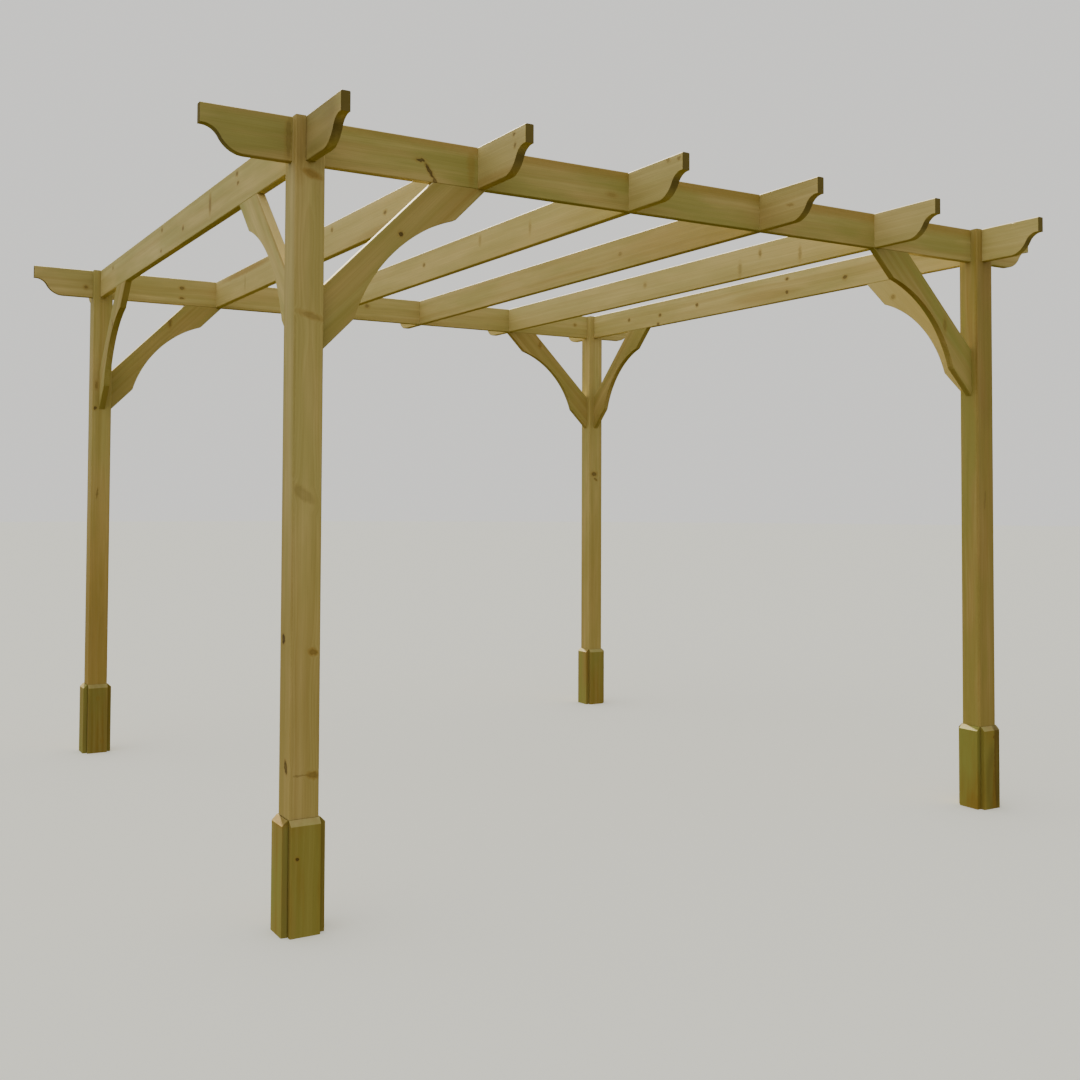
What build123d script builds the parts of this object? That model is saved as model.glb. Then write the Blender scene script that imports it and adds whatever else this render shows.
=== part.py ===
from build123d import *
import math
import os

# A square timber pergola. Four posts carry two beams that run from left to right and
# six rafters that run from front to back. Beams and rafters have one section and are
# halved into each other, so the roof is flush above and below. Each post top is slotted
# both ways, and its four corners rise round the crossing of a beam and a rafter.
# The origin is on the ground at the middle of the plan, +X to the right, +Y to the back.

# Posts
post_width = 95.0
post_arris = 5.0
post_spacing_x = 3040.0
post_spacing_y = 3040.0
frame_height = 2470.0

# Beams and rafters
timber_depth = 140.0
timber_thickness = 30.0
timber_arris = 4.0
beam_overhang = 330.0
rafter_overhang = 330.0
rafter_count = 6
halving_clearance = 0.2
slot_clearance = 0.2

# Shaped ends: an upright tip, a short level step, a cove and a round
tip_height = 60.0
tip_step = 8.0
cove_radius = 60.0
round_radius = 95.0

# Knee braces between a post and the timber over it
brace_reach = 380.0
brace_width = 140.0
brace_thickness = 30.0
brace_arris = 3.0
scoop_length = 500.0
scoop_depth = 63.0

# Boards round the foot of each post
foot_board_height = 345.0
foot_board_width = 95.0
foot_board_thickness = 21.0
foot_board_arris = 2.5
foot_bevel_height = 17.0
foot_bevel_depth = 17.0

timber_top = frame_height
timber_underside = frame_height - timber_depth
halving_level = frame_height - timber_depth / 2
post_x = post_spacing_x / 2
post_y = post_spacing_y / 2
half_post = post_width / 2
rafter_pitch = post_spacing_x / (rafter_count - 1)
rafter_places = [-post_x + rafter_pitch * i for i in range(rafter_count)]
beam_places = [-post_y, post_y]


def end_waste(half_length):
    """What is cut from under a timber's end: outside the step, the cove and the round."""
    turn = math.acos(1 - (timber_depth - tip_height) / (cove_radius + round_radius))
    step_level = timber_top - tip_height
    outside = half_length + 1
    below = timber_underside - 1
    with BuildSketch() as outline:
        with BuildLine():
            step = Line((outside, step_level), (half_length - tip_step, step_level))
            cove = JernArc(step @ 1, (-1, 0), cove_radius, math.degrees(turn))
            nose = JernArc(cove @ 1, cove % 1, round_radius, -math.degrees(turn))
            inner_end = nose @ 1
            Polyline(inner_end, (inner_end.X, below), (outside, below), (outside, step_level))
        make_face()
    return extrude(Plane.XZ * outline.sketch, amount=timber_thickness, both=True)


def roof_timber(half_length):
    """A planed beam or rafter along X: eased arrises and two shaped ends, no joints yet."""
    section = RectangleRounded(timber_thickness, timber_depth, timber_arris)
    middle = Pos(0, 0, timber_top - timber_depth / 2)
    wood = middle * extrude(Plane.YZ * section, amount=half_length, both=True)
    waste = end_waste(half_length)
    return wood - waste - mirror(waste, about=Plane.YZ)


def joint_block(x, y, size_x, size_y, bottom, top):
    """A block that stands in for what a joint takes away."""
    block = Box(size_x, size_y, top - bottom, align=(Align.CENTER, Align.CENTER, Align.MIN))
    return Pos(x, y, bottom) * block


def beam(y):
    """A beam with a notch in its upper half for each rafter."""
    wood = Pos(0, y, 0) * roof_timber(post_x + beam_overhang)
    notch = timber_thickness + 2 * halving_clearance
    for x in rafter_places:
        wood -= joint_block(x, y, notch, post_width, halving_level, timber_top + 1)
    return wood


def rafter(x):
    """A rafter with a notch in its lower half for each beam."""
    wood = Pos(x, 0, 0) * (Rot(0, 0, 90) * roof_timber(post_y + rafter_overhang))
    notch = timber_thickness + 2 * halving_clearance
    for y in beam_places:
        wood -= joint_block(x, y, post_width, notch, timber_underside - 1, halving_level)
    return wood


def post(x, y):
    """A full-height planed post whose top is slotted both ways for the crossing timbers."""
    section = RectangleRounded(post_width, post_width, post_arris)
    wood = Pos(x, y, 0) * extrude(section, amount=frame_height)
    slot = timber_thickness + 2 * slot_clearance
    through = post_width + 2
    wood -= joint_block(x, y, through, slot, timber_underside, frame_height + 1)
    wood -= joint_block(x, y, slot, through, timber_underside, frame_height + 1)
    return wood


def brace():
    """A knee brace along +X: its corner of post face and timber underside is at the origin."""
    toe = brace_reach + brace_width * math.sqrt(2)
    # A planed board at 45 degrees, with its upper edge across the corner at the reach
    section = RectangleRounded(brace_thickness, brace_width, brace_arris)
    board = extrude(Plane.YZ * section, amount=toe, both=True)
    slope = Pos(brace_reach / 2, 0, -brace_reach / 2) * Rot(0, -45, 0)
    wood = slope * (Pos(0, 0, -brace_width / 2) * board)
    # Sawn plumb against the post and level under the timber
    corner = Box(toe, post_width, toe, align=(Align.MIN, Align.CENTER, Align.MAX))
    wood = wood & corner
    # The scoop is part of a circle whose chord lies on the lower edge
    scoop_radius = (scoop_length**2 / 4 + scoop_depth**2) / (2 * scoop_depth)
    scoop = Rot(90, 0, 0) * Cylinder(scoop_radius, post_width)
    return wood - slope * (Pos(0, 0, scoop_depth - brace_width - scoop_radius) * scoop)


def foot_board():
    """A foot board that stands against a post face at X = 0, its upper edge bevelled."""
    with BuildSketch() as section:
        with BuildLine():
            Polyline(
                (0, 0),
                (foot_board_thickness, 0),
                (foot_board_thickness, foot_board_height - foot_bevel_height),
                (foot_board_thickness - foot_bevel_depth, foot_board_height),
                (0, foot_board_height),
                close=True,
            )
        make_face()
    wood = extrude(Plane.XZ * section.sketch, amount=foot_board_width / 2, both=True)
    outer_arrises = wood.edges().filter_by(Axis.Z).group_by(Axis.X)[-1]
    return fillet(outer_arrises, foot_board_arris)


nodes = {}

for side, y in (("front", -post_y), ("back", post_y)):
    nodes["beam_" + side] = beam(y)

for number, x in enumerate(rafter_places, start=1):
    nodes["rafter_" + str(number)] = rafter(x)

corners = {
    "front_left": (-post_x, -post_y),
    "front_right": (post_x, -post_y),
    "back_left": (-post_x, post_y),
    "back_right": (post_x, post_y),
}
faces = {"right": 0, "back": 90, "left": 180, "front": 270}

for corner, (x, y) in corners.items():
    nodes["post_" + corner] = post(x, y)
    # Both braces of a post lean to the middle of the plan
    turn_x = 180 if x > 0 else 0
    turn_y = 270 if y > 0 else 90
    for carried, turn in (("beam", turn_x), ("rafter", turn_y)):
        seat = Pos(half_post, 0, timber_underside)
        nodes["brace_" + corner + "_" + carried] = Pos(x, y, 0) * Rot(0, 0, turn) * seat * brace()
    for face, turn in faces.items():
        seat = Pos(half_post, 0, 0)
        nodes["foot_board_" + corner + "_" + face] = Pos(x, y, 0) * Rot(0, 0, turn) * seat * foot_board()

os.makedirs("parts", exist_ok=True)
for name, shape in nodes.items():
    export_step(shape.solid(), "parts/" + name + ".step")
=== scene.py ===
"""A square timber pergola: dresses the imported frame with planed, pressure-treated softwood."""
import math
import random

import bmesh
import bpy
from mathutils import Euler, Matrix, Vector


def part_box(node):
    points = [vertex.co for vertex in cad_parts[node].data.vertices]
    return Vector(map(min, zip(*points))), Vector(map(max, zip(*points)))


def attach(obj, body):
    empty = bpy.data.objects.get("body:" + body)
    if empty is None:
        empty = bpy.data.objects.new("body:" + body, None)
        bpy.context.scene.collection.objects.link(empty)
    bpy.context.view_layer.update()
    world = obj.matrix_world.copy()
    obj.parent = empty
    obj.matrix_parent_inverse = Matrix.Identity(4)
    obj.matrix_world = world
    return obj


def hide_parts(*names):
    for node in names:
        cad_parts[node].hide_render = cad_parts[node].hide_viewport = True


bl_info = {
    "name": "Timber Pergola",
    "version": (1, 0, 0),
    "blender": (4, 5, 0),
    "location": "3D View > Sidebar > Pergola",
    "description": "Models the timbers, joints and finish of a square garden pergola round its frame",
    "category": "Object",
}

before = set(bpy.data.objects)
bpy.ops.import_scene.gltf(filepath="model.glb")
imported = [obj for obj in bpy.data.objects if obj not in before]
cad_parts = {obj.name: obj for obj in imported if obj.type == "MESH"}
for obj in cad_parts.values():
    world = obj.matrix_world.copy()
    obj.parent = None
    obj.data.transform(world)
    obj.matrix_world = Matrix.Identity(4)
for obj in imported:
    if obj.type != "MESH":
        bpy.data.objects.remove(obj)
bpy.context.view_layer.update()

MM = 0.001
# In metres: two levels this near are one level, and two points this near are one point
SAME_LEVEL = 1e-5
SAME_POINT = 1e-6

CORNERS = ("front_left", "front_right", "back_left", "back_right")
RAFTERS = sorted(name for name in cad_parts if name.startswith("rafter_"))


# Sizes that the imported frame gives

def middle_of(name):
    low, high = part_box(name)
    return (low + high) / 2


def size_of(name):
    low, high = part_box(name)
    return high - low


# Settings

def metres(name, description, default):
    """A size that can be set."""
    return bpy.props.FloatProperty(name=name, description=description, default=default, unit="LENGTH")


def srgb(name, description, default):
    """A colour that can be set. Its default is an sRGB hex value such as #a08a55."""
    values = [int(default.lstrip("#")[i:i + 2], 16) / 255 for i in (0, 2, 4)]
    linear = [v / 12.92 if v <= 0.04045 else ((v + 0.055) / 1.055) ** 2.4 for v in values]
    return bpy.props.FloatVectorProperty(name=name, description=description, default=linear,
                                         subtype="COLOR", size=3)


class PergolaJoinery(bpy.types.PropertyGroup):
    """Sizes of the shaped ends, the arrises and the joints."""
    tip_height: metres("Tip height", "Upright part of a shaped end", 0.060)
    tip_step: metres("Tip step", "Level step between the tip and the cove", 0.008)
    cove_radius: metres("Cove radius", "Hollow part of the ogee", 0.060)
    round_radius: metres("Round radius", "Full part of the ogee", 0.095)
    halving_gap: metres("Halving gap", "Room at each side of a halving joint", 0.0002)
    slot_gap: metres("Slot gap", "Room at each side of a timber in a post's slot", 0.0002)
    post_arris: metres("Post arris", "Radius of a post's planed corner", 0.005)
    timber_arris: metres("Timber arris", "Radius of a roof timber's planed corner", 0.004)
    brace_arris: metres("Brace arris", "Radius of a brace's planed corner", 0.003)
    sawn_edge: metres("Sawn edge", "Slight wear on edges left by the saw", 0.0008)
    brace_reach: metres("Brace reach", "Corner to the brace's upper edge, along post and timber", 0.380)
    scoop_length: metres("Scoop length", "Chord of the scoop in a brace", 0.500)
    scoop_depth: metres("Scoop depth", "Depth of the scoop in a brace", 0.063)
    foot_bevel: metres("Foot bevel", "Slope at the top of a foot board", 0.017)
    foot_arris: metres("Foot board arris", "Radius of a foot board's upright edge", 0.0025)


class PergolaColours(bpy.types.PropertyGroup):
    """Colours of treated softwood and of the studio."""
    pale_wood: srgb("Pale wood", "Early growth between the rings", "#cebe88")
    ring_wood: srgb("Ring wood", "Dense late growth", "#88702e")
    green_wood: srgb("Green bloom", "Where the preservative shows most", "#8b8e48")
    # Also the brown round patches of painted shade
    brown_streak_and_shade: srgb("Brown streak", "Resinous heartwood and the stain round knots", "#977530")
    # Also a painted highlight, laid on upper faces and top arrises where the sun catches them
    pale_and_lit_top: srgb("Bleached wood", "Faces that the sun and rain reach", "#e2d9b4")
    # Also the dark of patches of painted shade
    knot_and_shade_tone: srgb("Knot", "Middle of a knot", "#45330f")
    # Also laid as painted shade on narrow edges that a finish marks as shaded
    end_and_edge_shade: srgb("End grain", "Sawn end that drinks in the preservative", "#5c5020")
    floor: srgb("Floor", "Pale studio floor", "#eeeff2")
    backdrop: srgb("Backdrop", "Surround that the camera sees above the floor", "#f4f3ef")
    key_light: srgb("Key light", "Low sun from behind", "#fff1d6")


# Finishes

def shade(tree, kind, inputs=(), out=0, **settings):
    """Add one node with its settings, feed its inputs, and return one of its outputs.

    The inputs are values or other nodes' outputs, in the node's own order, or by name or number.
    With out=None the node itself is returned."""
    made = tree.nodes.new("ShaderNode" + kind)
    for key, value in settings.items():
        setattr(made, key, value)
    for key, value in (inputs if isinstance(inputs, dict) else dict(enumerate(inputs))).items():
        if isinstance(value, bpy.types.NodeSocket):
            tree.links.new(value, made.inputs[key])
        else:
            made.inputs[key].default_value = value
    return made if out is None else made.outputs[out]


# The numbers of the sockets of a Mix node that is set to mix colours
AMOUNT, UNDER, OVER, MIXED = 0, 6, 7, 2


def new_pattern(name, inputs, outputs):
    """A node group with its sockets, ready to be filled."""
    tree = bpy.data.node_groups.new(name, "ShaderNodeTree")
    for label, kind in inputs:
        tree.interface.new_socket(label, in_out="INPUT", socket_type="NodeSocket" + kind)
    for label, kind in outputs:
        tree.interface.new_socket(label, in_out="OUTPUT", socket_type="NodeSocket" + kind)
    return tree, tree.nodes.new("NodeGroupInput").outputs, tree.nodes.new("NodeGroupOutput").inputs


def knot_pattern():
    """A knot that the grain swings round. With no swirl, the same heart and stain lay a patch of painted
    shade. Its heart and stain are added to those of the knots before it."""
    if "Knot" in bpy.data.node_groups:
        return bpy.data.node_groups["Knot"]
    tree, given, out = new_pattern(
        "Knot",
        (("Log", "Vector"), ("Knot Place", "Vector"), ("Centre", "Vector"), ("Heart", "Float"),
         ("Stain", "Float"), ("Darkness", "Float"), ("Halo", "Float"), ("Swirl", "Float")),
        (("Log", "Vector"), ("Heart", "Float"), ("Stain", "Float")))
    # The rim of the knot is at a distance of 1, and the grain is bent as far out as 3
    distance = shade(tree, "VectorMath", (given["Knot Place"],), "Value", operation="LENGTH")
    # The grain is pushed out from its centre, but not along itself
    away = shade(tree, "VectorMath", (given["Log"], given["Centre"]), operation="SUBTRACT")
    across = shade(tree, "VectorMath", (away, (0.0, 1.0, 1.0)), operation="MULTIPLY")
    bend = shade(tree, "MapRange", (distance, 0.5, 3.0, 0.72, 0.0), interpolation_type="SMOOTHERSTEP")
    bend = shade(tree, "Math", (bend, given["Swirl"]), operation="MULTIPLY")
    pushed = shade(tree, "VectorMath", {0: across, "Scale": bend}, operation="SCALE")
    bent = shade(tree, "VectorMath", (given["Log"], pushed), operation="SUBTRACT")
    tree.links.new(bent, out["Log"])
    # Darkest near the rim, where a knot's bark grew in; a patch of painted shade is darkened the same
    # way
    rim = shade(tree, "MapRange", (distance, 0.1, 0.7, 0.72, 1.0))
    heart = shade(tree, "MapRange", (distance, 0.62, 1.28, 1.0, 0.0), interpolation_type="SMOOTHSTEP")
    heart = shade(tree, "Math", (heart, rim), operation="MULTIPLY")
    heart = shade(tree, "Math", (heart, given["Darkness"]), operation="MULTIPLY")
    tree.links.new(shade(tree, "Math", (heart, given["Heart"]), operation="MAXIMUM"), out["Heart"])
    # Resin has stained the wood round it, fading out at 2.6; a patch of painted shade is browned the
    # same way
    stain = shade(tree, "MapRange", (distance, 0.6, 2.6, 1.0, 0.0), interpolation_type="SMOOTHERSTEP")
    stain = shade(tree, "Math", (stain, given["Halo"]), operation="MULTIPLY")
    tree.links.new(shade(tree, "Math", (stain, given["Stain"]), operation="MAXIMUM"), out["Stain"])
    return tree


def softwood_pattern(colours):
    """Planed softwood, pressure-treated with a green preservative: rings round a pith along X, broad
    bands, green bloom, brown heartwood and fine fibre. The eye sees quiet straight lines of honey and
    olive, and sawn ends that are darker."""
    if "Treated softwood" in bpy.data.node_groups:
        return bpy.data.node_groups["Treated softwood"]
    tree, given, out = new_pattern(
        "Treated softwood",
        (("Log", "Vector"), ("Place", "Vector"), ("Heart", "Float"), ("Stain", "Float"),
         ("Pith", "Vector"), ("Shift", "Vector"), ("Ring Spacing", "Float"), ("Sawn End And Edge Shade", "Float"),
         ("Paled And Lit From Above", "Float"), ("Green", "Float"), ("Brown", "Float"), ("Depth Of Tone", "Float")),
        (("Color", "Color"), ("Height", "Float"), ("Roughness", "Float")))
    pale, ring_tone, green, brown, pale_and_lit_tone, knot, end = (
        (*colour, 1.0) for colour in (
            colours.pale_wood, colours.ring_wood, colours.green_wood, colours.brown_streak_and_shade,
            colours.pale_and_lit_top, colours.knot_and_shade_tone, colours.end_and_edge_shade))

    # No two timbers show the same part of the patterns
    place = shade(tree, "VectorMath", (given["Place"], given["Shift"]), operation="ADD")
    # The pith wanders some 5 mm over half a metre of trunk
    wander = shade(tree, "VectorMath", (place, (1.6, 5.0, 5.0)), operation="MULTIPLY")
    wander = shade(tree, "TexNoise", {"Vector": wander, "Scale": 1.0, "Detail": 2.0, "Roughness": 0.5},
                   "Color")
    wander = shade(tree, "VectorMath", (wander, (0.5, 0.5, 0.5)), operation="SUBTRACT")
    wander = shade(tree, "VectorMath", (wander, (0.0, 0.030, 0.030)), operation="MULTIPLY")
    trunk = shade(tree, "VectorMath", (given["Log"], wander), operation="ADD")
    from_pith = shade(tree, "VectorMath", (trunk, given["Pith"]), operation="SUBTRACT")
    # A metre along the grain counts as 10 mm across it, so the rings run almost straight
    from_pith = shade(tree, "VectorMath", (from_pith, (0.010, 1.0, 1.0)), operation="MULTIPLY")
    radius = shade(tree, "VectorMath", (from_pith,), "Value", operation="LENGTH")
    # Wet and dry years, in spells 18 mm deep, make wide and narrow rings
    years = shade(tree, "Math", (radius, 55.0), operation="MULTIPLY")
    years = shade(tree, "TexNoise", {"W": years, "Scale": 1.0, "Detail": 1.0}, noise_dimensions="1D")
    phase = shade(tree, "Math", (radius, given["Ring Spacing"]), operation="DIVIDE")
    phase = shade(tree, "Math", (years, 3.0, phase), operation="MULTIPLY_ADD")
    ring = shade(tree, "Math", (phase,), operation="FRACT")
    # A ring darkens slowly through the summer, and the next spring's growth is pale at once
    late = shade(tree, "MapRange", (ring, 0.2, 0.86), interpolation_type="SMOOTHSTEP")
    spring = shade(tree, "MapRange", (ring, 0.88, 1.0, 1.0, 0.0))
    late = shade(tree, "Math", (late, spring), operation="MULTIPLY")

    # Patterns drawn out along the grain. The two numbers after the source say how often each
    # repeats in a metre, along the grain and across it.
    shifted = shade(tree, "VectorMath", (trunk, given["Shift"]), operation="ADD")
    grown = []
    for source, along, sideways, detail, roughness in (
            # Fibre 150 mm long and 2 mm wide, drawn coarser than the real 0.03 mm so that it shows
            (given["Log"], 6.5, 480.0, 3.0, 0.6),
            # Bands of slower and faster growth, some 20 mm wide
            (shifted, 0.5, 48.0, 2.0, 0.5),
            # Preservative bloom in patches some 450 mm long and 80 mm wide
            (place, 2.2, 12.0, 3.0, 0.55),
            # Heartwood in streaks some 40 mm wide
            (shifted, 0.8, 24.0, 2.0, 0.5)):
        drawn = shade(tree, "VectorMath", (source, (along, sideways, sideways)), operation="MULTIPLY")
        grown.append(shade(tree, "TexNoise", {"Vector": drawn, "Scale": 1.0, "Detail": detail,
                                              "Roughness": roughness}))
    fibre, bands, bloom, heartwood = grown

    # Rings show as faint lines, and bands come on top of the timber's own depth of tone
    lines = shade(tree, "Math", (late, 0.19), operation="MULTIPLY")
    depth = shade(tree, "MapRange", (bands, 0.30, 0.72, 0.0, 0.30))
    depth = shade(tree, "Math", (depth, given["Depth Of Tone"]), operation="ADD", use_clamp=True)
    # Bloom lies over most of a timber, and heartwood and stain over some of it
    bloomed = shade(tree, "MapRange", (bloom, 0.36, 0.60))
    bloomed = shade(tree, "Math", (bloomed, given["Green"]), operation="MULTIPLY")
    browned = shade(tree, "MapRange", (heartwood, 0.43, 0.74))
    browned = shade(tree, "Math", (browned, given["Brown"]), operation="MULTIPLY")
    browned = shade(tree, "Math", (browned, given["Stain"]), operation="MAXIMUM")
    # Upward faces are paler, from sun and rain and as a painted highlight, but not a stain
    weathered_and_lit = shade(tree, "Math", (1.0, given["Stain"]), operation="SUBTRACT")
    weathered_and_lit = shade(tree, "Math", (weathered_and_lit, given["Paled And Lit From Above"]), operation="MULTIPLY")
    # Each tone lies over those before it, as strongly as its amount says
    wood = pale
    for tone, amount in ((ring_tone, lines), (ring_tone, depth), (green, bloomed), (brown, browned),
                         (pale_and_lit_tone, weathered_and_lit)):
        wood = shade(tree, "Mix", {AMOUNT: amount, UNDER: wood, OVER: tone}, MIXED, data_type="RGBA")
    # Single fibres are up to a tenth darker or paler than the rest
    strand = shade(tree, "MapRange", (fibre, 0.25, 0.75, 0.91, 1.07))
    wood = shade(tree, "VectorMath", {0: wood, "Scale": strand}, operation="SCALE")
    # A sawn end has drunk in the preservative, so little of its rings still shows. The same tone is
    # painted shade on narrow edges that a finish marks as shaded
    soaked_and_shaded = shade(tree, "Math", (given["Sawn End And Edge Shade"], 0.92), operation="MULTIPLY")
    for tone, amount in ((end, soaked_and_shaded), (knot, given["Heart"])):
        wood = shade(tree, "Mix", {AMOUNT: amount, UNDER: wood, OVER: tone}, MIXED, data_type="RGBA")

    # Fibre and late growth stand up a little, and knots dry below the surface
    height = shade(tree, "Math", (fibre, 0.5), operation="MULTIPLY")
    height = shade(tree, "Math", (late, 0.4, height), operation="MULTIPLY_ADD")
    height = shade(tree, "Math", (given["Heart"], -0.3, height), operation="MULTIPLY_ADD")
    # Dense late growth planes smoother, and sawn ends are rougher
    rough = shade(tree, "Math", (fibre, 0.16, 0.58), operation="MULTIPLY_ADD")
    rough = shade(tree, "Math", (late, -0.06, rough), operation="MULTIPLY_ADD")
    rough = shade(tree, "Math", (given["Sawn End And Edge Shade"], 0.16, rough), operation="MULTIPLY_ADD")
    tree.links.new(wood, out["Color"])
    tree.links.new(height, out["Height"])
    tree.links.new(rough, out["Roughness"])
    return tree
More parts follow.
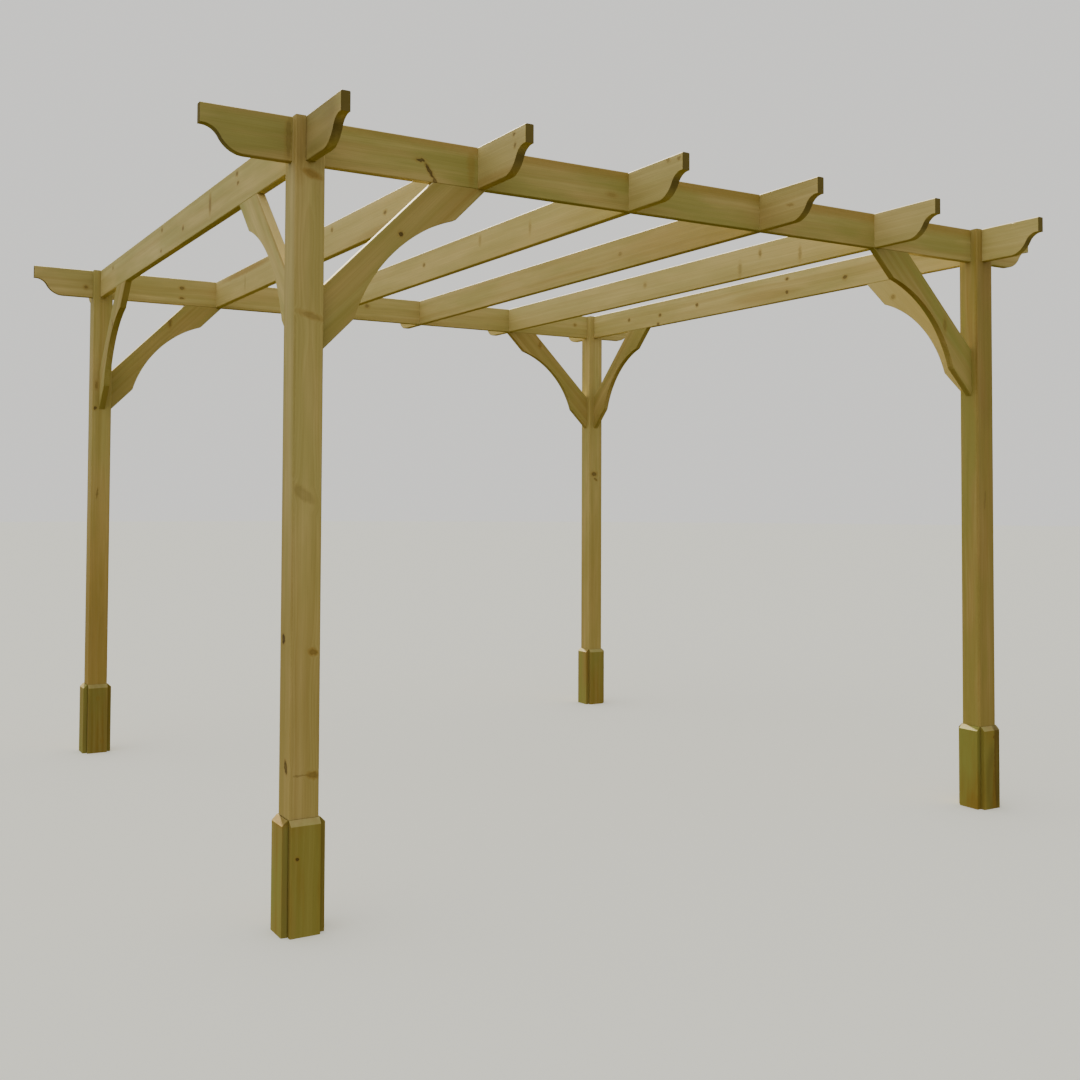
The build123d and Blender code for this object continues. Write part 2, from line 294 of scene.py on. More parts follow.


# Knots and stains of the timbers that show most, and patches of painted shade, one to a row: its
# place and its radii, then how dark its heart is, how strong the stain round it is, and how far the
# grain swings round it. The tilt comes last, where there is one. Places and radii are in
# millimetres, tilts in degrees. A board with an empty entry is clear, and a timber with no entry has
# knots by chance.
KNOTS_STAINS_AND_SHADE = {
    "post_front_left": (
        ((-1516, -1567, 2293), (24, 14, 9), 0.22, 0.72, 0.2, (0, 18, 0)),
        ((-1553, -1567, 2400), (22, 20, 90), 0.20, 0.35, 0.0),
        ((-1520, -1567, 2120), (80, 12, 300), 0.06, 0.12, 0.0),
        # Painted shade: the left face is darker down most of its height
        ((-1567, -1520, 1500), (8, 70, 1300), 0.15, 0.0, 0.0),
        ((-1512, -1567, 1858), (34, 12, 8), 0.24, 0.45, 0.4, (0, 15, 0)),
        ((-1532, -1567, 1316), (42, 12, 16), 0.22, 0.22, 0.5, (0, 36, 0)),
        ((-1496, -1567, 840), (13, 20, 9), 0.35, 0.75, 1.0, (0, 15, 0)),
        ((-1493, -1567, 471), (17, 16, 10), 0.40, 0.70, 1.0, (0, 12, 0)),
        ((-1530, -1567, 473), (26, 8, 3), 0.45, 0.30, 0.0, (0, -3, 0)),
        ((-1567, -1505, 876), (12, 13, 15), 1.0, 0.55, 0.8),
        ((-1567, -1536, 496), (10, 13, 22), 0.90, 0.55, 0.6, (-18, 0, 0)),
        # Painted shade: darker and browner towards the foot
        ((-1520, -1520, 250), (300, 300, 620), 0.06, 0.34, 0.0)),
    "foot_board_front_left_front": (
        ((-1547, -1588, 232), (5.5, 30, 5.5), 0.95, 0.45, 0.8),),
    "beam_front": (
        ((-1135, -1535, 2397), (15, 60, 6), 0.92, 0.40, 1.0),
        ((-1104, -1535, 2366), (27, 12, 6), 0.90, 0.45, 0.6, (0, 58, 0)),
        ((-1086, -1535, 2336), (14, 12, 6), 0.70, 0.40, 0.4, (0, 70, 0)),
        ((-391, -1535, 2380), (16, 60, 7), 0.16, 0.30, 1.0),
        ((-952, -1535, 2415), (9, 20, 52), 0.0, 0.34, 0.0),
        # Painted shadow: a dark brown strip beside the post's horn
        ((-1579, -1535, 2400), (9, 30, 64), 0.36, 0.30, 0.0),
        ((200, -1535, 2478), (1500, 60, 26), 0.0, 0.60, 0.0, (0, 0.4, 0)),
        ((-1700, -1535, 2400), (170, 20, 100), 0.15, 0.0, 0.0)),
    "rafter_1": (
        # Painted shadow: a dark brown line beside the post's horn
        ((-1535, -1571, 2400), (20, 4, 90), 0.50, 0.30, 0.0),
        ((-1535, -1670, 2420), (20, 170, 100), 0.42, 0.12, 0.0),
        ((-1535, -865, 2447), (40, 12, 7), 0.55, 0.50, 1.0),
        ((-1535, -878, 2412), (40, 11, 6), 0.60, 0.50, 1.0),
        ((-1535, -529, 2405), (12, 12, 28), 0.45, 0.50, 0.8),
        ((-1535, -143, 2389), (40, 12, 9), 0.60, 0.50, 1.0),
        ((-1535, 201, 2444), (40, 12, 8), 0.55, 0.50, 1.0),
        ((-1535, 214, 2356), (40, 12, 6), 0.60, 0.50, 1.0),
        ((-1535, 1178, 2435), (40, 12, 9), 0.50, 0.45, 1.0)),
    "rafter_2": (
        ((-927, -1700, 2400), (40, 170, 100), 0.19, 0.0, 0.0),
        ((-927, -771, 2404), (40, 13, 7), 0.60, 0.45, 1.0),
        ((-927, -213, 2438), (40, 11, 8), 0.50, 0.45, 1.0),
        ((-927, 989, 2389), (20, 5, 34), 0.35, 0.30, 0.5),
        ((-927, -1777, 2453), (40, 7, 5), 0.70, 0.40, 0.8),
        ((-927, -1784, 2417), (40, 7, 7), 0.70, 0.40, 0.8),
        ((-927, 980, 2452), (40, 240, 10), 0.0, 0.62, 0.0),
        ((-927, -1200, 2345), (40, 420, 12), 0.0, 0.45, 0.0)),
    "rafter_3": (
        ((-319, -1700, 2400), (40, 170, 100), 0.13, 0.0, 0.0),
        ((-319, 162, 2409), (40, 12, 8), 0.60, 0.45, 1.0),
        ((-319, -404, 2428), (14, 9, 18), 0.22, 0.30, 0.8),
        ((-319, -836, 2400), (14, 8, 22), 0.20, 0.30, 0.8),
        ((-319, -1769, 2460), (40, 12, 6), 0.45, 0.35, 0.6, (25, 0, 0)),
        ((-319, -1831, 2453), (40, 8, 5), 0.50, 0.35, 0.6)),
    "rafter_4": (
        ((289, -1700, 2400), (40, 170, 100), 0.14, 0.0, 0.0),
        ((289, -1705, 2395), (40, 18, 5), 0.35, 0.45, 0.8, (8, 0, 0)),
        ((289, -594, 2399), (40, 14, 8), 0.30, 0.40, 1.0),
        ((289, -1150, 2400), (60, 360, 60), 0.0, 0.34, 0.0)),
    "rafter_5": (
        ((897, -1700, 2400), (40, 170, 100), 0.12, 0.0, 0.0),
        ((897, -693, 2375), (20, 10, 26), 0.22, 0.25, 0.6),
        ((897, -834, 2426), (40, 8, 14), 0.40, 0.40, 0.8),
        ((897, -1097, 2382), (20, 8, 24), 0.25, 0.30, 0.6),
        ((897, 64, 2411), (40, 12, 10), 0.25, 0.35, 1.0)),
    "rafter_6": (
        ((1505, 408, 2403), (40, 12, 9), 0.70, 0.50, 1.0),
        ((1505, 761, 2390), (40, 12, 9), 0.65, 0.50, 1.0),
        ((1505, 781, 2339), (40, 11, 7), 0.65, 0.50, 1.0),
        ((1505, 1081, 2399), (40, 12, 9), 0.60, 0.50, 1.0),
        ((1505, -340, 2439), (40, 11, 8), 0.70, 0.50, 1.0),
        ((1505, -340, 2371), (40, 11, 8), 0.70, 0.50, 1.0),
        ((1505, -753, 2386), (40, 13, 9), 0.70, 0.50, 1.0),
        ((1505, -170, 2374), (40, 150, 20), 0.0, 0.30, 0.0)),
    "beam_back": (
        ((-1601, 1505, 2382), (9, 40, 8), 0.60, 0.45, 1.0),
        ((-1110, 1505, 2421), (12, 40, 8), 0.60, 0.45, 1.0),
        ((-1110, 1505, 2367), (11, 40, 6), 0.60, 0.45, 1.0),
        ((-46, 1505, 2412), (12, 40, 10), 0.45, 0.40, 1.0),
        ((1381, 1505, 2409), (10, 40, 8), 0.45, 0.40, 1.0),
        ((-1700, 1505, 2400), (170, 20, 100), 0.14, 0.0, 0.0)),
    "brace_front_left_beam": (
        ((-1203, -1535, 2149), (8, 40, 8), 0.95, 0.40, 1.0),),
    "brace_front_right_beam": (
        ((1309, -1535, 2045), (9, 14, 24), 0.25, 0.35, 0.8),
        ((1350, -1535, 1843), (6, 30, 10), 0.45, 0.40, 0.8)),
    "brace_front_right_rafter": (
        ((1505, -1061, 2246), (30, 11, 9), 0.30, 0.40, 1.0),),
    "brace_back_left_beam": (
        ((-1171, 1505, 2234), (8, 14, 26), 0.40, 0.40, 0.6),),
    "brace_back_right_beam": (
        ((1122, 1505, 2263), (10, 14, 16), 0.35, 0.40, 0.8),),
    "brace_front_left_rafter": (
        ((-1520, -1285, 2140), (40, 9, 300), 0.0, 0.55, 0.0, (-45, 0, 0)),),
    "post_back_left": (
        ((-1552, 1472, 1757), (8, 12, 9), 0.85, 0.40, 0.8),
        ((-1536, 1472, 1321), (5, 8, 28), 0.45, 0.30, 0.4, (0, 8, 0)),
        ((-1548, 1472, 1876), (7, 10, 18), 0.35, 0.35, 0.6),
        ((-1520, 1520, 250), (300, 300, 620), 0.10, 0.50, 0.0)),
    "post_back_right": (
        ((1508, 1472, 1458), (18, 14, 13), 0.70, 0.50, 0.9),
        ((1520, 1472, 1425), (16, 10, 6), 0.55, 0.40, 0.3, (0, 35, 0)),
        ((1520, 1520, 250), (300, 300, 620), 0.0, 0.30, 0.0)),
    "post_front_right": (
        ((1512, -1567, 1305), (6, 10, 46), 0.35, 0.35, 0.5, (0, 4, 0)),
        # Painted shade: the front face is darker and browner than the sides
        ((1525, -1567, 1200), (90, 12, 1500), 0.14, 0.34, 0.0),
        ((1525, -1567, 1980), (90, 12, 420), 0.22, 0.34, 0.0),
        ((1520, -1520, 250), (300, 300, 620), 0.0, 0.25, 0.0)),
    "foot_board_front_left_left": (
        # Painted shade over the bevel, which the sun lights, browned as well
        ((-1580, -1520, 337), (30, 60, 10), 0.30, 0.45, 0.0),),
    "foot_board_front_right_left": (),
    "foot_board_back_left_left": (
        ((-1588, 1520, 150), (30, 60, 300), 0.14, 0.0, 0.0),),
    "foot_board_back_left_front": (
        ((-1519, 1452, 277), (7, 30, 9), 0.20, 0.30, 0.8),
        ((-1501, 1452, 60), (7, 30, 9), 0.35, 0.30, 0.8),
        ((-1520, 1452, 150), (60, 30, 300), 0.30, 0.0, 0.0)),
    "foot_board_back_right_left": (),
    "foot_board_back_right_front": (
        ((1520, 1452, 150), (60, 30, 300), 0.14, 0.0, 0.0),),
    "foot_board_front_right_front": (
        ((1536, -1588, 300), (11, 30, 7), 0.60, 0.50, 0.8),
        ((1540, -1588, 175), (6, 10, 120), 0.40, 0.60, 0.3, (0, 1, 0)),
        ((1528, -1588, 95), (4, 10, 70), 0.50, 0.50, 0.3),
        ((1528, -1588, 110), (52, 30, 170), 0.36, 0.0, 0.0),
        ((1550, -1588, 200), (20, 30, 240), 0.68, 0.0, 0.0)),
}

# The tone of each timber: how much green bloom, how much brown heartwood, and how deep it is all over.
# A depth below 0 leaves the bands fainter.
TONES = {
    "post_front_left": (0.35, 0.22, 0.10),
    "post_front_right": (0.60, 0.22, 0.44),
    "post_back_left": (0.35, 0.22, 0.40),
    "post_back_right": (0.35, 0.22, 0.18),
    "beam_front": (0.60, 0.04, 0.28),
    "beam_back": (0.35, 0.15, 0.12),
    "rafter_1": (0.40, 0.20, 0.06),
    "rafter_2": (0.20, 0.15, -0.14),
    "rafter_3": (0.25, 0.12, -0.10),
    "rafter_4": (0.30, 0.35, 0.04),
    "rafter_5": (0.20, 0.10, -0.14),
    "rafter_6": (0.30, 0.20, -0.06),
    "brace_front_left_rafter": (0.70, 0.15, 0.05),
    "brace_front_right_beam": (0.70, 0.15, 0.50),
    "brace_front_right_rafter": (0.10, 0.15, -0.30),
}
BRACE_TONE = (0.45, 0.15, 0.42)

# Where the pith lies from the middle of a timber, in metres, with X along the grain. A post holds its
# pith, so its faces show wide rings in their middle, and a beam is sawn from beside it.
PITHS = {
    "post_front_left": (0, 0.012, 0.004),
    "post_front_right": (0, -0.014, 0.012),
    "post_back_left": (0, 0.006, -0.015),
    "post_back_right": (0, -0.010, -0.008),
    "beam_front": (0, 0.06, -0.24),
    "beam_back": (0, -0.07, 0.21),
}


def pith_by_chance(chance, aside, nearest, furthest):
    """A pith above or below a timber, and a little aside, so that its rings cross the faces slowly."""
    return (0, chance.uniform(-aside, aside), chance.choice((-1, 1)) * chance.uniform(nearest, furthest))


def knots_by_chance(chance, low, high):
    """Three knots or so to a metre, clear of the board's edges and ends, and right through it."""
    size = high - low
    thin = min(range(3), key=lambda i: size[i])
    per_metre, inset = 3, 0.2
    knots = []
    for _ in range(1 + int(per_metre * max(size))):
        spot = [chance.uniform(low[i] + inset * size[i], high[i] - inset * size[i]) / MM
                for i in range(3)]
        radii = [chance.uniform(6, 13) for _ in range(3)]
        radii[thin] = 40
        knots.append((spot, radii, chance.uniform(0.35, 0.8), 0.45, 1.0))
    return knots


def treated_timber(name, turn, pith, tone, ring=0.0045, paling_and_highlight=0.75, cross_cut=(0.38, 0.98),
                   shaded_edge=None):
    """The finish of one timber: its own log, laid along its own length.

    turn leads from the log, with X along the grain, to the timber. ring is the spacing of its rings.
    paling_and_highlight is how pale the faces that look up are, from sun and rain and as a painted
    highlight. Between the two values of cross_cut, a face that is turned towards the grain comes to
    show end grain. shaded_edge is the direction of narrow edges that are darker than the board's
    faces: painted shade, as in a shaded notch between boards."""
    finish = bpy.data.materials.new("planed treated softwood, " + name)
    finish.use_nodes = True
    tree = finish.node_tree
    tree.nodes.clear()
    to_log = Euler(turn).to_matrix().inverted()
    low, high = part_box(name)
    centre = (low + high) / 2
    chance = random.Random(name)
    knots = KNOTS_STAINS_AND_SHADE.get(name)
    if knots is None:
        knots = knots_by_chance(chance, low, high)
    # How far this timber's part of the patterns is from the others', in metres
    shift = [chance.uniform(-9, 9) for _ in range(3)]

    given = shade(tree, "TexCoord", out=None)
    place, facing = given.outputs["Object"], given.outputs["Normal"]
    log = shade(tree, "Mapping", {"Vector": place, "Location": centre, "Rotation": turn},
                vector_type="TEXTURE")
    # The outlines of knots are ragged by a millimetre or two
    ragged = shade(tree, "TexNoise", {"Vector": place, "Scale": 95.0, "Detail": 2.0}, "Color")
    ragged = shade(tree, "VectorMath", (ragged, (0.5, 0.5, 0.5)), operation="SUBTRACT")
    ragged = shade(tree, "VectorMath", (ragged, (0.012, 0.012, 0.012), place), operation="MULTIPLY_ADD")
    bent, heart, stain = log, 0.0, 0.0
    for spot, radii, darkness, halo, swirl, *tilt in knots:
        spot = Vector(spot) * MM
        tilted = [math.radians(a) for a in tilt[0]] if tilt else (0, 0, 0)
        local = shade(tree, "Mapping", {"Vector": ragged, "Location": spot, "Rotation": tilted,
                                        "Scale": Vector(radii) * MM}, vector_type="TEXTURE")
        one = shade(tree, "Group", {"Log": bent, "Knot Place": local, "Centre": to_log @ (spot - centre),
                                    "Heart": heart, "Stain": stain, "Darkness": darkness, "Halo": halo,
                                    "Swirl": swirl}, None, node_tree=knot_pattern())
        bent, heart, stain = one.outputs["Log"], one.outputs["Heart"], one.outputs["Stain"]

    # Faces square to the grain are end grain
    grain = to_log.inverted() @ Vector((1, 0, 0))
    end = shade(tree, "VectorMath", (facing, grain), "Value", operation="DOT_PRODUCT")
    end = shade(tree, "Math", (end,), operation="ABSOLUTE")
    end = shade(tree, "MapRange", (end, *cross_cut), interpolation_type="SMOOTHSTEP")
    # Painted shade: narrow edges that face this way are darkened with the end grain's tone, as in a
    # shaded notch
    if shaded_edge is not None:
        edge = shade(tree, "VectorMath", (facing, shaded_edge), "Value", operation="DOT_PRODUCT")
        edge = shade(tree, "Math", (edge,), operation="ABSOLUTE")
        edge = shade(tree, "MapRange", (edge, 0.75, 0.97, 0.0, 0.30))
        end = shade(tree, "Math", (end, edge), operation="MAXIMUM")
    # Faces that look up, and slopes less so, are paler from sun and rain and as a painted highlight
    paled_and_lit = shade(tree, "VectorMath", (facing, (0.0, 0.0, 1.0)), "Value", operation="DOT_PRODUCT")
    paled_and_lit = shade(tree, "MapRange", (paled_and_lit, 0.10, 0.62, 0.0, paling_and_highlight), interpolation_type="SMOOTHSTEP")
    green, brown, deep = tone
    wood = shade(tree, "Group", {"Log": bent, "Place": log, "Heart": heart, "Stain": stain, "Pith": pith,
                                 "Shift": shift, "Ring Spacing": ring, "Sawn End And Edge Shade": end,
                                 "Paled And Lit From Above": paled_and_lit, "Green": green, "Brown": brown,
                                 "Depth Of Tone": deep}, None,
                 node_tree=softwood_pattern(bpy.context.scene.pergola_colours))
    # Half a millimetre of relief, and the low sheen of dry planed wood
    relief = shade(tree, "Bump", {"Height": wood.outputs["Height"], "Strength": 0.45,
                                  "Distance": 0.5 * MM})
    surface = shade(tree, "BsdfPrincipled", {"Base Color": wood.outputs["Color"], "Normal": relief,
                                             "Roughness": wood.outputs["Roughness"],
                                             "Specular IOR Level": 0.24})
    shade(tree, "OutputMaterial", {"Surface": surface}, None)
    return finish


# Mesh helpers

def vertices_in(items):
    return [item for item in items if isinstance(item, bmesh.types.BMVert)]


def walk(bm, start, *steps):
    """Draw an outline from a vertex by extruding it along each step. Returns the last vertex."""
    for step in steps:
        start = bmesh.ops.extrude_vert_indiv(bm, verts=[start])["verts"][0]
        bmesh.ops.translate(bm, verts=[start], vec=step)
    return start


def arc(bm, start, centre, degrees, pieces):
    """Continue an outline round a centre in the upright plane. Returns the last vertex."""
    swept = bmesh.ops.spin(bm, geom=[start], cent=centre, axis=(0, 1, 0), angle=math.radians(degrees),
                           steps=pieces)
    return vertices_in(swept["geom_last"])[0]


def thicken(bm, thickness):
    """Fill the closed outline and give it its thickness along Y, evenly to both sides."""
    # Its two ends meet to within a hundredth of a millimetre or two
    bmesh.ops.remove_doubles(bm, verts=bm.verts, dist=2 * SAME_LEVEL)
    bmesh.ops.translate(bm, verts=bm.verts, vec=(0, -thickness / 2, 0))
    face = bmesh.ops.contextual_create(bm, geom=bm.edges[:])["faces"]
    grown = bmesh.ops.extrude_face_region(bm, geom=face)["geom"]
    bmesh.ops.translate(bm, verts=vertices_in(grown), vec=(0, thickness, 0))
    bmesh.ops.recalc_face_normals(bm, faces=bm.faces)


def ease(bm, edges, radius, segments=3):
    """Round a set of edges over, as a planer or sandpaper leaves them."""
    bmesh.ops.bevel(bm, geom=edges, offset=radius, offset_type="OFFSET", affect="EDGES",
                    segments=segments, profile=0.5, material=-1, clamp_overlap=True)


def sharp_edges(bm, test):
    """Edges between faces at over 30 degrees that pass a test on their two ends."""
    chosen = []
    for edge in bm.edges:
        if len(edge.link_faces) == 2 and edge.calc_face_angle() > math.radians(30):
            if test(edge.verts[0].co, edge.verts[1].co):
                chosen.append(edge)
    return chosen


def against_post(corner, level, turn):
    """Where a piece goes that is modelled at X = 0: against a post's face, turned round the post."""
    name = "post_" + corner
    middle = middle_of(name)
    return (Matrix.Translation((middle.x, middle.y, level)) @ Matrix.Rotation(turn, 4, "Z")
            @ Matrix.Translation((size_of(name).x / 2, 0, 0)))


def finished(bm, placement, finish, node):
    """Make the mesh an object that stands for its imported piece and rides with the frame."""
    bmesh.ops.transform(bm, matrix=placement, verts=bm.verts)
    bmesh.ops.recalc_face_normals(bm, faces=bm.faces)
    mesh = bpy.data.meshes.new("wood_" + node)
    bm.to_mesh(mesh)
    bm.free()
    mesh.shade_smooth()
    mesh.set_sharp_from_angle(angle=math.radians(35))
    mesh.materials.append(finish)
    piece = bpy.data.objects.new("wood_" + node, mesh)
    bpy.context.scene.collection.objects.link(piece)
    flat = piece.modifiers.new("Flat faces stay flat", "WEIGHTED_NORMAL")
    flat.keep_sharp = True
    flat.weight = 100
    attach(piece, "root")
    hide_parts(node)


# Pieces

def roof_timber(settings, half, top, depth, thickness, notches, notch_from_top, crossing):
    """A beam or rafter along X: half its outline is drawn and mirrored, then its arrises are planed and
    its ends shaped.

    notches are the places of the halving joints on the right half, for timbers as thick as crossing."""
    bm = bmesh.new()
    underside = top - depth
    gap = crossing + 2 * settings.halving_gap

    def notched(into):
        """Steps along an edge from the middle to the end, in and out of each notch."""
        steps, here = [], 0.0
        for place in notches:
            steps += [(place - gap / 2 - here, 0, 0), (0, 0, into), (gap, 0, 0), (0, 0, -into)]
            here = place + gap / 2
        return steps + [(half - here, 0, 0)]

    below, above = [(half, 0, 0)], [(half, 0, 0)]
    if notch_from_top:
        above = notched(-depth / 2)
    else:
        below = notched(depth / 2)
    corner = walk(bm, bm.verts.new((0, 0, underside)), *below)
    walk(bm, corner, (0, 0, depth))
    walk(bm, bm.verts.new((0, 0, top)), *above)
    bmesh.ops.mirror(bm, geom=bm.verts[:] + bm.edges[:], axis="X", merge_dist=SAME_POINT)
    thicken(bm, thickness)

    def planed(a, b):
        """Long arrises of the board, above and below."""
        outer = abs(a.z - top) < SAME_LEVEL or abs(a.z - underside) < SAME_LEVEL
        return outer and abs(a.z - b.z) < SAME_LEVEL and abs(a.y - b.y) < SAME_LEVEL

    ease(bm, sharp_edges(bm, planed), settings.timber_arris)
    straight = shape_ends(bm, settings, half, top, underside)

    def sawn(a, b):
        """The outline of the tip, and the ogee's edges beyond where it fades into the arris."""
        nearer, lower = min(abs(a.x), abs(b.x)), min(a.z, b.z)
        along = abs(a.y - b.y) < SAME_LEVEL
        return nearer > half - SAME_LEVEL or (
            nearer > straight and lower > underside + settings.timber_arris and along)

    ease(bm, sharp_edges(bm, sawn), settings.sawn_edge, 2)
    return bm


def shape_ends(bm, settings, half, top, underside):
    """Cut across both ends in small steps, and lift what is under the ogee up to it.

    Returns how far out from the middle the ogee begins."""
    cove, nose, steps = settings.cove_radius, settings.round_radius, 12
    tip = top - settings.tip_height
    turn = math.acos(1 - (tip - underside) / (cove + nose))
    outer = half - settings.tip_step
    inner = outer - (cove + nose) * math.sin(turn)
    angles = [turn * i / steps for i in range(steps + 1)]
    ogee = [(inner + nose * math.sin(a), underside + nose * (1 - math.cos(a))) for a in angles]
    ogee += [(outer - cove * math.sin(a), tip - cove * (1 - math.cos(a))) for a in reversed(angles[:-1])]
    for out, level in ogee + [(half, tip)]:
        for place in (-out, out):
            if out < half:
                bmesh.ops.bisect_plane(bm, geom=bm.verts[:] + bm.edges[:] + bm.faces[:], dist=SAME_POINT,
                                       plane_co=(place, 0, 0), plane_no=(1, 0, 0))
            for vert in bm.verts:
                if abs(vert.co.x - place) < SAME_LEVEL:
                    vert.co.z = max(vert.co.z, level)
    bm.normal_update()
    bmesh.ops.dissolve_limit(bm, angle_limit=math.radians(0.5), verts=bm.verts, edges=bm.edges)
    return inner


def square_post(settings, name, timber):
    """A square post whose top stands as four corners round the crossing timbers."""
    low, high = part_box(name)
    half = (high.x - low.x) / 2
    slot = timber / 2 + settings.slot_gap
    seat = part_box("beam_front")[0].z
    # No upright edge of the post is as short as this
    short = 0.01
    bm = bmesh.new()
    # A grid of three by three: its inner lines move to the sides of the slots
    bmesh.ops.create_grid(bm, x_segments=3, y_segments=3, size=half)
    for vert in bm.verts:
        vert.co.x = math.copysign(slot if abs(vert.co.x) < half / 2 else half, vert.co.x)
        vert.co.y = math.copysign(slot if abs(vert.co.y) < half / 2 else half, vert.co.y)
    bmesh.ops.translate(bm, verts=bm.verts, vec=(0, 0, seat))
    rim = [edge for edge in bm.edges if edge.is_boundary]
    skirt = bmesh.ops.extrude_edge_only(bm, edges=rim)["geom"]
    bmesh.ops.translate(bm, verts=vertices_in(skirt), vec=(0, 0, low.z - seat))
    bmesh.ops.contextual_create(bm, geom=[edge for edge in bm.edges if edge.is_boundary])
    # The four corner squares grow up from the seat as prongs
    roots = [face for face in bm.faces if all(abs(c) > slot for c in face.calc_center_median().xy)
             and abs(face.calc_center_median().z - seat) < SAME_POINT]
    for face in roots:
        grown = bmesh.ops.extrude_face_region(bm, geom=[face])["geom"]
        bmesh.ops.translate(bm, verts=vertices_in(grown), vec=(0, 0, high.z - seat))
    bmesh.ops.delete(bm, geom=roots, context="FACES_ONLY")
    bmesh.ops.recalc_face_normals(bm, faces=bm.faces)

    def corner(a, b):
        return all(abs(c) > half - SAME_LEVEL for c in (a.x, a.y, b.x, b.y)) and abs(a.z - b.z) > short

    def sawn_top(a, b):
        return min(a.z, b.z) > high.z - SAME_LEVEL and abs(a.z - b.z) < SAME_POINT

    def slotted(a, b):
        """Upright edges of the slots, where a dark line shows beside each timber."""
        on_face = [max(abs(c.x), abs(c.y)) > half - SAME_LEVEL
                   and min(abs(c.x), abs(c.y)) < slot + SAME_LEVEL for c in (a, b)]
        return all(on_face) and abs(a.z - b.z) > short

    ease(bm, sharp_edges(bm, slotted), settings.sawn_edge, 2)
    ease(bm, sharp_edges(bm, corner), settings.post_arris, 4)
    ease(bm, sharp_edges(bm, sawn_top), settings.sawn_edge, 2)
    return bm


def knee_brace(settings, width, thickness):
    """A brace along +X with its corner of post face and timber underside at the origin."""
    reach = settings.brace_reach
    toe = reach + width * math.sqrt(2)
    chord, deep = settings.scoop_length, settings.scoop_depth
    radius = (chord ** 2 / 4 + deep ** 2) / (2 * deep)
    sweep = math.degrees(2 * math.asin(chord / 2 / radius))
    slope = math.sqrt(0.5)
    nose = (toe - chord * slope) / 2
    bm = bmesh.new()
    start = bm.verts.new((0, 0, -reach))
    last = walk(bm, start, (reach, 0, reach), (toe - reach, 0, 0), (-nose, 0, -nose))
    centre = (toe / 2 + (radius - deep) * slope, 0, -toe / 2 - (radius - deep) * slope)
    last = arc(bm, last, centre, -sweep, 40)
    walk(bm, last, (-nose, 0, -nose), (0, 0, toe - reach))
    thicken(bm, thickness)
    side = thickness / 2 - SAME_LEVEL
    # The pieces of the scoop are shorter than this, and the board's own edges longer
    short = 0.05

    def planed(a, b):
        """The board's own arrises: the outer edge and the two noses."""
        run, rise = abs(a.x - b.x), abs(a.z - b.z)
        sloping = abs(run - rise) < SAME_LEVEL and run > short
        return sloping and abs(a.y) > side and abs(a.y - b.y) < SAME_POINT

    def scooped(a, b):
        on_seat = (a.x < SAME_LEVEL and b.x < SAME_LEVEL) or (a.z > -SAME_LEVEL and b.z > -SAME_LEVEL)
        along = abs(a.y) > side and abs(a.y - b.y) < SAME_POINT
        return along and not on_seat and (a - b).length < short

    ease(bm, sharp_edges(bm, planed), settings.brace_arris)
    ease(bm, sharp_edges(bm, scooped), settings.sawn_edge, 2)
    return bm


def foot_board(settings, width, thickness, height):
    """A board that stands against a post face at X = 0, its upper edge bevelled."""
    bm = bmesh.new()
    bevel = settings.foot_bevel
    start = bm.verts.new((0, 0, 0))
    walk(bm, start, (thickness, 0, 0), (0, 0, height - bevel), (-bevel, 0, bevel),
         (bevel - thickness, 0, 0), (0, 0, -height))
    thicken(bm, width)

    def upright(a, b):
        return abs(a.z - b.z) > height / 2

    def bevelled(a, b):
        """Edges round the bevel, some of them lowered by the eased corners, but none at the post."""
        lowest = height - bevel - 3 * MM
        return min(a.z, b.z) > lowest and max(a.x, b.x) > MM

    ease(bm, sharp_edges(bm, upright), settings.foot_arris)
    ease(bm, sharp_edges(bm, bevelled), settings.sawn_edge, 2)
    return bm


class PERGOLA_OT_posts(bpy.types.Operator):
    """Model the four slotted posts"""
    bl_idname = "pergola.posts"
    bl_label = "Posts"

    def execute(self, context):
        for corner in CORNERS:
            name = "post_" + corner
            middle = middle_of(name)
            bm = square_post(context.scene.pergola_joinery, name, size_of("beam_front").y)
            # A post is most of a small log that grew fast, so its rings are wide
            finish = treated_timber(name, (0, -math.pi / 2, 0), PITHS[name], TONES[name], ring=0.0058)
            finished(bm, Matrix.Translation((middle.x, middle.y, 0)), finish, name)
        return {"FINISHED"}


class PERGOLA_OT_beams(bpy.types.Operator):
    """Model the front and back beams, halved for the rafters"""
    bl_idname = "pergola.beams"
    bl_label = "Beams"

    def execute(self, context):
        on_the_right = [middle_of(rafter).x for rafter in RAFTERS if middle_of(rafter).x > 0]
        for name in ("beam_front", "beam_back"):
            high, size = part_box(name)[1], size_of(name)
            bm = roof_timber(context.scene.pergola_joinery, high.x, high.z, size.z, size.y,
                             on_the_right, True, size_of("rafter_1").x)
            finish = treated_timber(name, (0, 0, 0), PITHS[name], TONES[name])
            finished(bm, Matrix.Translation((0, middle_of(name).y, 0)), finish, name)
        return {"FINISHED"}


class PERGOLA_OT_rafters(bpy.types.Operator):
    """Model the six rafters, halved over the beams"""
    bl_idname = "pergola.rafters"
    bl_label = "Rafters"

    def execute(self, context):
        for number, name in enumerate(RAFTERS, start=1):
            high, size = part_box(name)[1], size_of(name)
            bm = roof_timber(context.scene.pergola_joinery, high.y, high.z, size.z, size.x,
                             [middle_of("beam_back").y], False, size_of("beam_front").y)
            turned = Matrix.Translation((middle_of(name).x, 0, 0)) @ Matrix.Rotation(math.pi / 2, 4, "Z")
            pith = pith_by_chance(random.Random(number), 0.08, 0.18, 0.26)
            finish = treated_timber(name, (0, 0, math.pi / 2), pith, TONES[name])
            finished(bm, turned, finish, name)
        return {"FINISHED"}


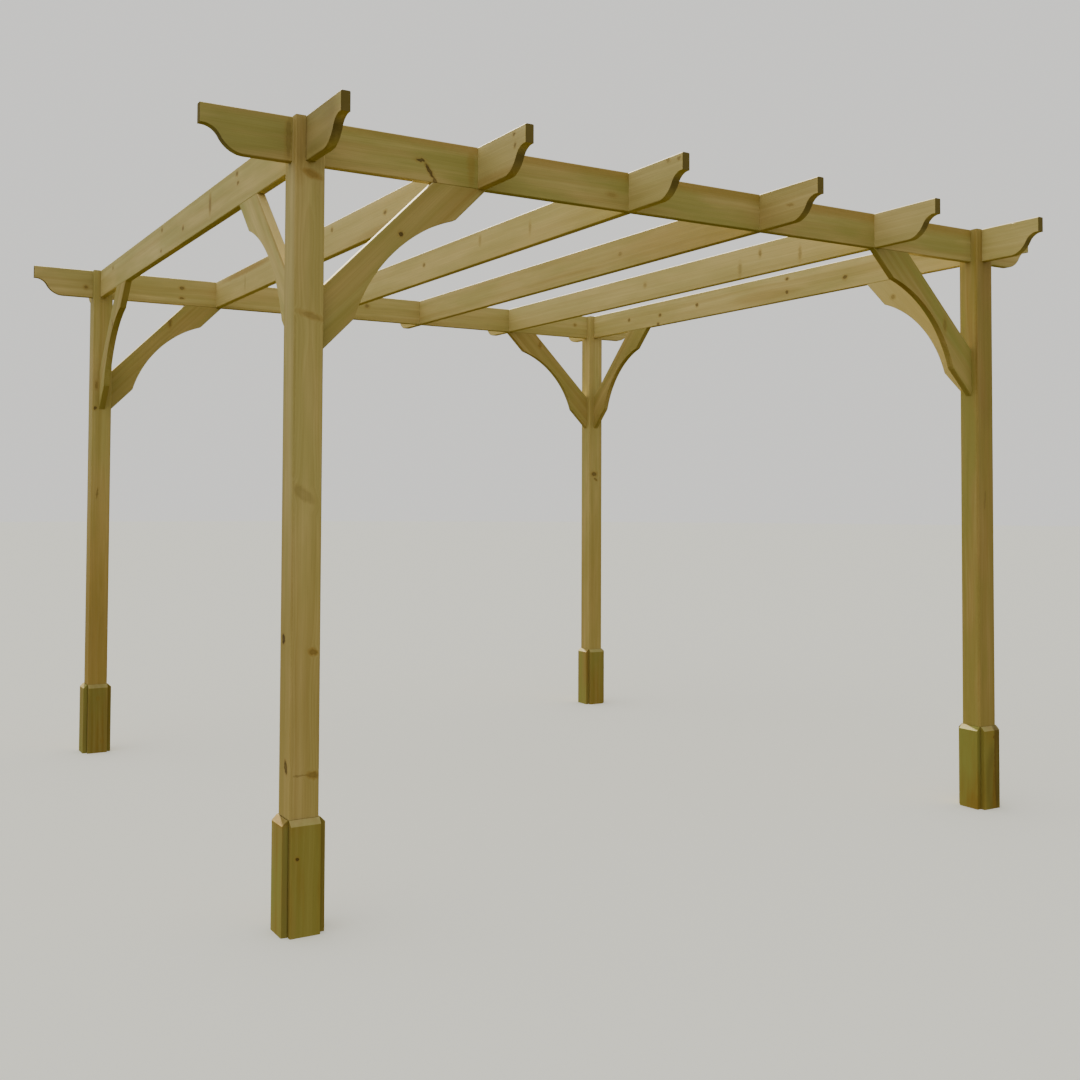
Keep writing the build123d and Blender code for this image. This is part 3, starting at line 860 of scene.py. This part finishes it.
class PERGOLA_OT_braces(bpy.types.Operator):
    """Model the eight scooped knee braces"""
    bl_idname = "pergola.braces"
    bl_label = "Braces"

    def execute(self, context):
        settings = context.scene.pergola_joinery
        for corner in CORNERS:
            post = middle_of("post_" + corner)
            # Both braces of a post lean to the middle of the plan
            for carried, turn in (("beam", math.pi if post.x > 0 else 0),
                                  ("rafter", -math.pi / 2 if post.y > 0 else math.pi / 2)):
                name = f"brace_{corner}_{carried}"
                size = size_of(name)
                toe, thickness = max(size.x, size.y), min(size.x, size.y)
                bm = knee_brace(settings, (toe - settings.brace_reach) / math.sqrt(2), thickness)
                pith = pith_by_chance(random.Random(name), 0.06, 0.16, 0.24)
                finish = treated_timber(name, (0, -math.pi / 4, turn), pith, TONES.get(name, BRACE_TONE))
                finished(bm, against_post(corner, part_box(name)[1].z, turn), finish, name)
        return {"FINISHED"}


class PERGOLA_OT_foot_boards(bpy.types.Operator):
    """Model the boards that box each post's foot"""
    bl_idname = "pergola.foot_boards"
    bl_label = "Foot boards"

    def execute(self, context):
        for corner in CORNERS:
            for number, face in enumerate(("right", "back", "left", "front")):
                name = f"foot_board_{corner}_{face}"
                size = size_of(name)
                bm = foot_board(context.scene.pergola_joinery, max(size.x, size.y), min(size.x, size.y),
                                size.z)
                turn = number * math.pi / 2
                # A pith beside the board and just behind it
                chance = random.Random(name)
                pith = (0, chance.choice((-1, 1)) * chance.uniform(0.10, 0.16),
                        -chance.uniform(0.02, 0.06))
                # Boards that face left are greener and free of brown, and the front right post's are
                # the deepest in tone
                deep = 0.95 if corner == "front_right" else 0.66 if face == "left" else 0.78
                green, brown, paling_and_highlight = (0.8, 0.0, 0.0) if face == "left" else (0.55, 0.08, 0.14)
                # Their narrow edges get painted shade, as in the shaded notches where the boards meet
                # A bevel at 45 degrees is still too near the grain to show as a sawn end
                finish = treated_timber(name, (0, -math.pi / 2, turn), pith, (green, brown, deep),
                                        paling_and_highlight=paling_and_highlight, cross_cut=(0.8, 1.0),
                                        shaded_edge=(-math.sin(turn), math.cos(turn), 0))
                finished(bm, against_post(corner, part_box(name)[0].z, turn), finish, name)
        return {"FINISHED"}


def studio_floor(colours):
    """A wide round floor in matt paint, with a little light of its own so that it is pale all over."""
    bm = bmesh.new()
    bmesh.ops.create_circle(bm, cap_ends=True, segments=96, radius=60.0)
    mesh = bpy.data.meshes.new("studio_floor")
    bm.to_mesh(mesh)
    bm.free()
    floor = bpy.data.objects.new("studio_floor", mesh)
    bpy.context.scene.collection.objects.link(floor)
    # It neither throws light up at the timbers nor keeps any from them
    floor.visible_diffuse = floor.visible_glossy = False
    paint = bpy.data.materials.new("matt floor paint")
    paint.use_nodes = True
    coat = paint.node_tree.nodes["Principled BSDF"]
    coat.inputs["Base Color"].default_value = (*colours.floor, 1.0)
    coat.inputs["Roughness"].default_value = 0.85
    coat.inputs["Emission Color"].default_value = (1.0, 1.0, 1.0, 1.0)
    coat.inputs["Emission Strength"].default_value = 0.14
    mesh.materials.append(paint)
    return floor


def soft_surround(colours):
    """Soft light from above, nearly twice as strong from the left and faint from below. The camera sees
    a pale backdrop instead of it."""
    from_above, from_left, from_below = (0.74, 0.72, 0.60), (1.36, 1.33, 1.10), (0.22, 0.18, 0.028)
    world = bpy.data.worlds.new("soft studio")
    world.use_nodes = True
    tree = world.node_tree
    tree.nodes.clear()
    direction = shade(tree, "TexCoord", out="Generated")
    height = shade(tree, "SeparateXYZ", (direction,), "Z")
    # The light from above fades into the light from below round the horizon
    height = shade(tree, "MapRange", (height, -0.20, 0.12), interpolation_type="SMOOTHSTEP")
    leftward = shade(tree, "VectorMath", (direction, (-0.92, -0.2, 0.33)), "Value",
                     operation="DOT_PRODUCT")
    leftward = shade(tree, "MapRange", (leftward, -0.1, 0.95))
    glow = shade(tree, "Mix", {AMOUNT: leftward, UNDER: (*from_above, 1.0), OVER: (*from_left, 1.0)},
                 MIXED, data_type="RGBA")
    glow = shade(tree, "Mix", {AMOUNT: height, UNDER: (*from_below, 1.0), OVER: glow}, MIXED,
                 data_type="RGBA")
    light = shade(tree, "Background", (glow, 1.0))
    backdrop = shade(tree, "Background", ((*colours.backdrop, 1.0), 1.05))
    seen = shade(tree, "LightPath", out="Is Camera Ray")
    both = shade(tree, "MixShader", (seen, light, backdrop))
    shade(tree, "OutputWorld", {"Surface": both}, None)
    bpy.context.scene.world = world


def key_light(colours, floor):
    """A low sun from behind and a little to the right, so that the upper edges catch it. It leaves the
    floor alone, so that no hard shadows lie across it."""
    data = bpy.data.lights.new("key", "SUN")
    data.energy = 14.0
    data.color = colours.key_light
    data.angle = math.radians(4)
    key = bpy.data.objects.new("key", data)
    key.rotation_euler = Vector((0.16, 0.77, 0.62)).to_track_quat("Z", "Y").to_euler()
    bpy.context.scene.collection.objects.link(key)
    unlit = bpy.data.collections.new("left out of the key")
    unlit.objects.link(floor)
    key.light_linking.receiver_collection = unlit
    unlit.collection_objects[0].light_linking.link_state = "EXCLUDE"


def viewpoint():
    """A camera at chest height, in front of the front left corner and a little to its left."""
    data = bpy.data.cameras.new("camera")
    data.sensor_fit = "HORIZONTAL"
    data.sensor_width = 36
    data.lens = 41.194
    data.shift_y = -0.0770
    data.clip_end = 200
    data.dof.use_dof = False
    camera = bpy.data.objects.new("camera", data)
    place = (-2.82548, -5.13861, 1.31053)
    yaw, pitch, roll = 0.53645, 0.03245, 0.00411
    ahead = Vector((math.sin(yaw) * math.cos(pitch), math.cos(yaw) * math.cos(pitch), math.sin(pitch)))
    level = Vector((math.cos(yaw), -math.sin(yaw), 0))
    above = level.cross(ahead)
    right = math.cos(roll) * level + math.sin(roll) * above
    up = -math.sin(roll) * level + math.cos(roll) * above
    turned = Matrix((right, up, -ahead)).transposed().to_4x4()
    camera.matrix_world = Matrix.Translation(place) @ turned
    bpy.context.scene.collection.objects.link(camera)
    bpy.context.scene.camera = camera


class PERGOLA_OT_stage(bpy.types.Operator):
    """Lay the pale floor, hang the soft lights and set the camera"""
    bl_idname = "pergola.stage"
    bl_label = "Stage"

    def execute(self, context):
        colours = context.scene.pergola_colours
        floor = studio_floor(colours)
        soft_surround(colours)
        key_light(colours, floor)
        viewpoint()
        return {"FINISHED"}


class PERGOLA_PT_sidebar(bpy.types.Panel):
    """Sizes, colours and pieces of the pergola"""
    bl_idname = "PERGOLA_PT_sidebar"
    bl_label = "Timber Pergola"
    bl_space_type = "VIEW_3D"
    bl_region_type = "UI"
    bl_category = "Pergola"

    def draw(self, context):
        layout = self.layout
        for group in (context.scene.pergola_joinery, context.scene.pergola_colours):
            box = layout.box()
            for key in group.__annotations__:
                box.prop(group, key)
        for operator in OPERATORS:
            layout.operator(operator.bl_idname)


OPERATORS = (PERGOLA_OT_posts, PERGOLA_OT_beams, PERGOLA_OT_rafters, PERGOLA_OT_braces,
             PERGOLA_OT_foot_boards, PERGOLA_OT_stage)
CLASSES = (PergolaJoinery, PergolaColours, *OPERATORS, PERGOLA_PT_sidebar)


def register():
    for item in CLASSES:
        bpy.utils.register_class(item)
    bpy.types.Scene.pergola_joinery = bpy.props.PointerProperty(type=PergolaJoinery)
    bpy.types.Scene.pergola_colours = bpy.props.PointerProperty(type=PergolaColours)


def unregister():
    del bpy.types.Scene.pergola_colours
    del bpy.types.Scene.pergola_joinery
    for item in reversed(CLASSES):
        bpy.utils.unregister_class(item)


def main():
    register()
    for operator in OPERATORS:
        group, name = operator.bl_idname.split(".")
        getattr(getattr(bpy.ops, group), name)()


if __name__ == "__main__":
    main()
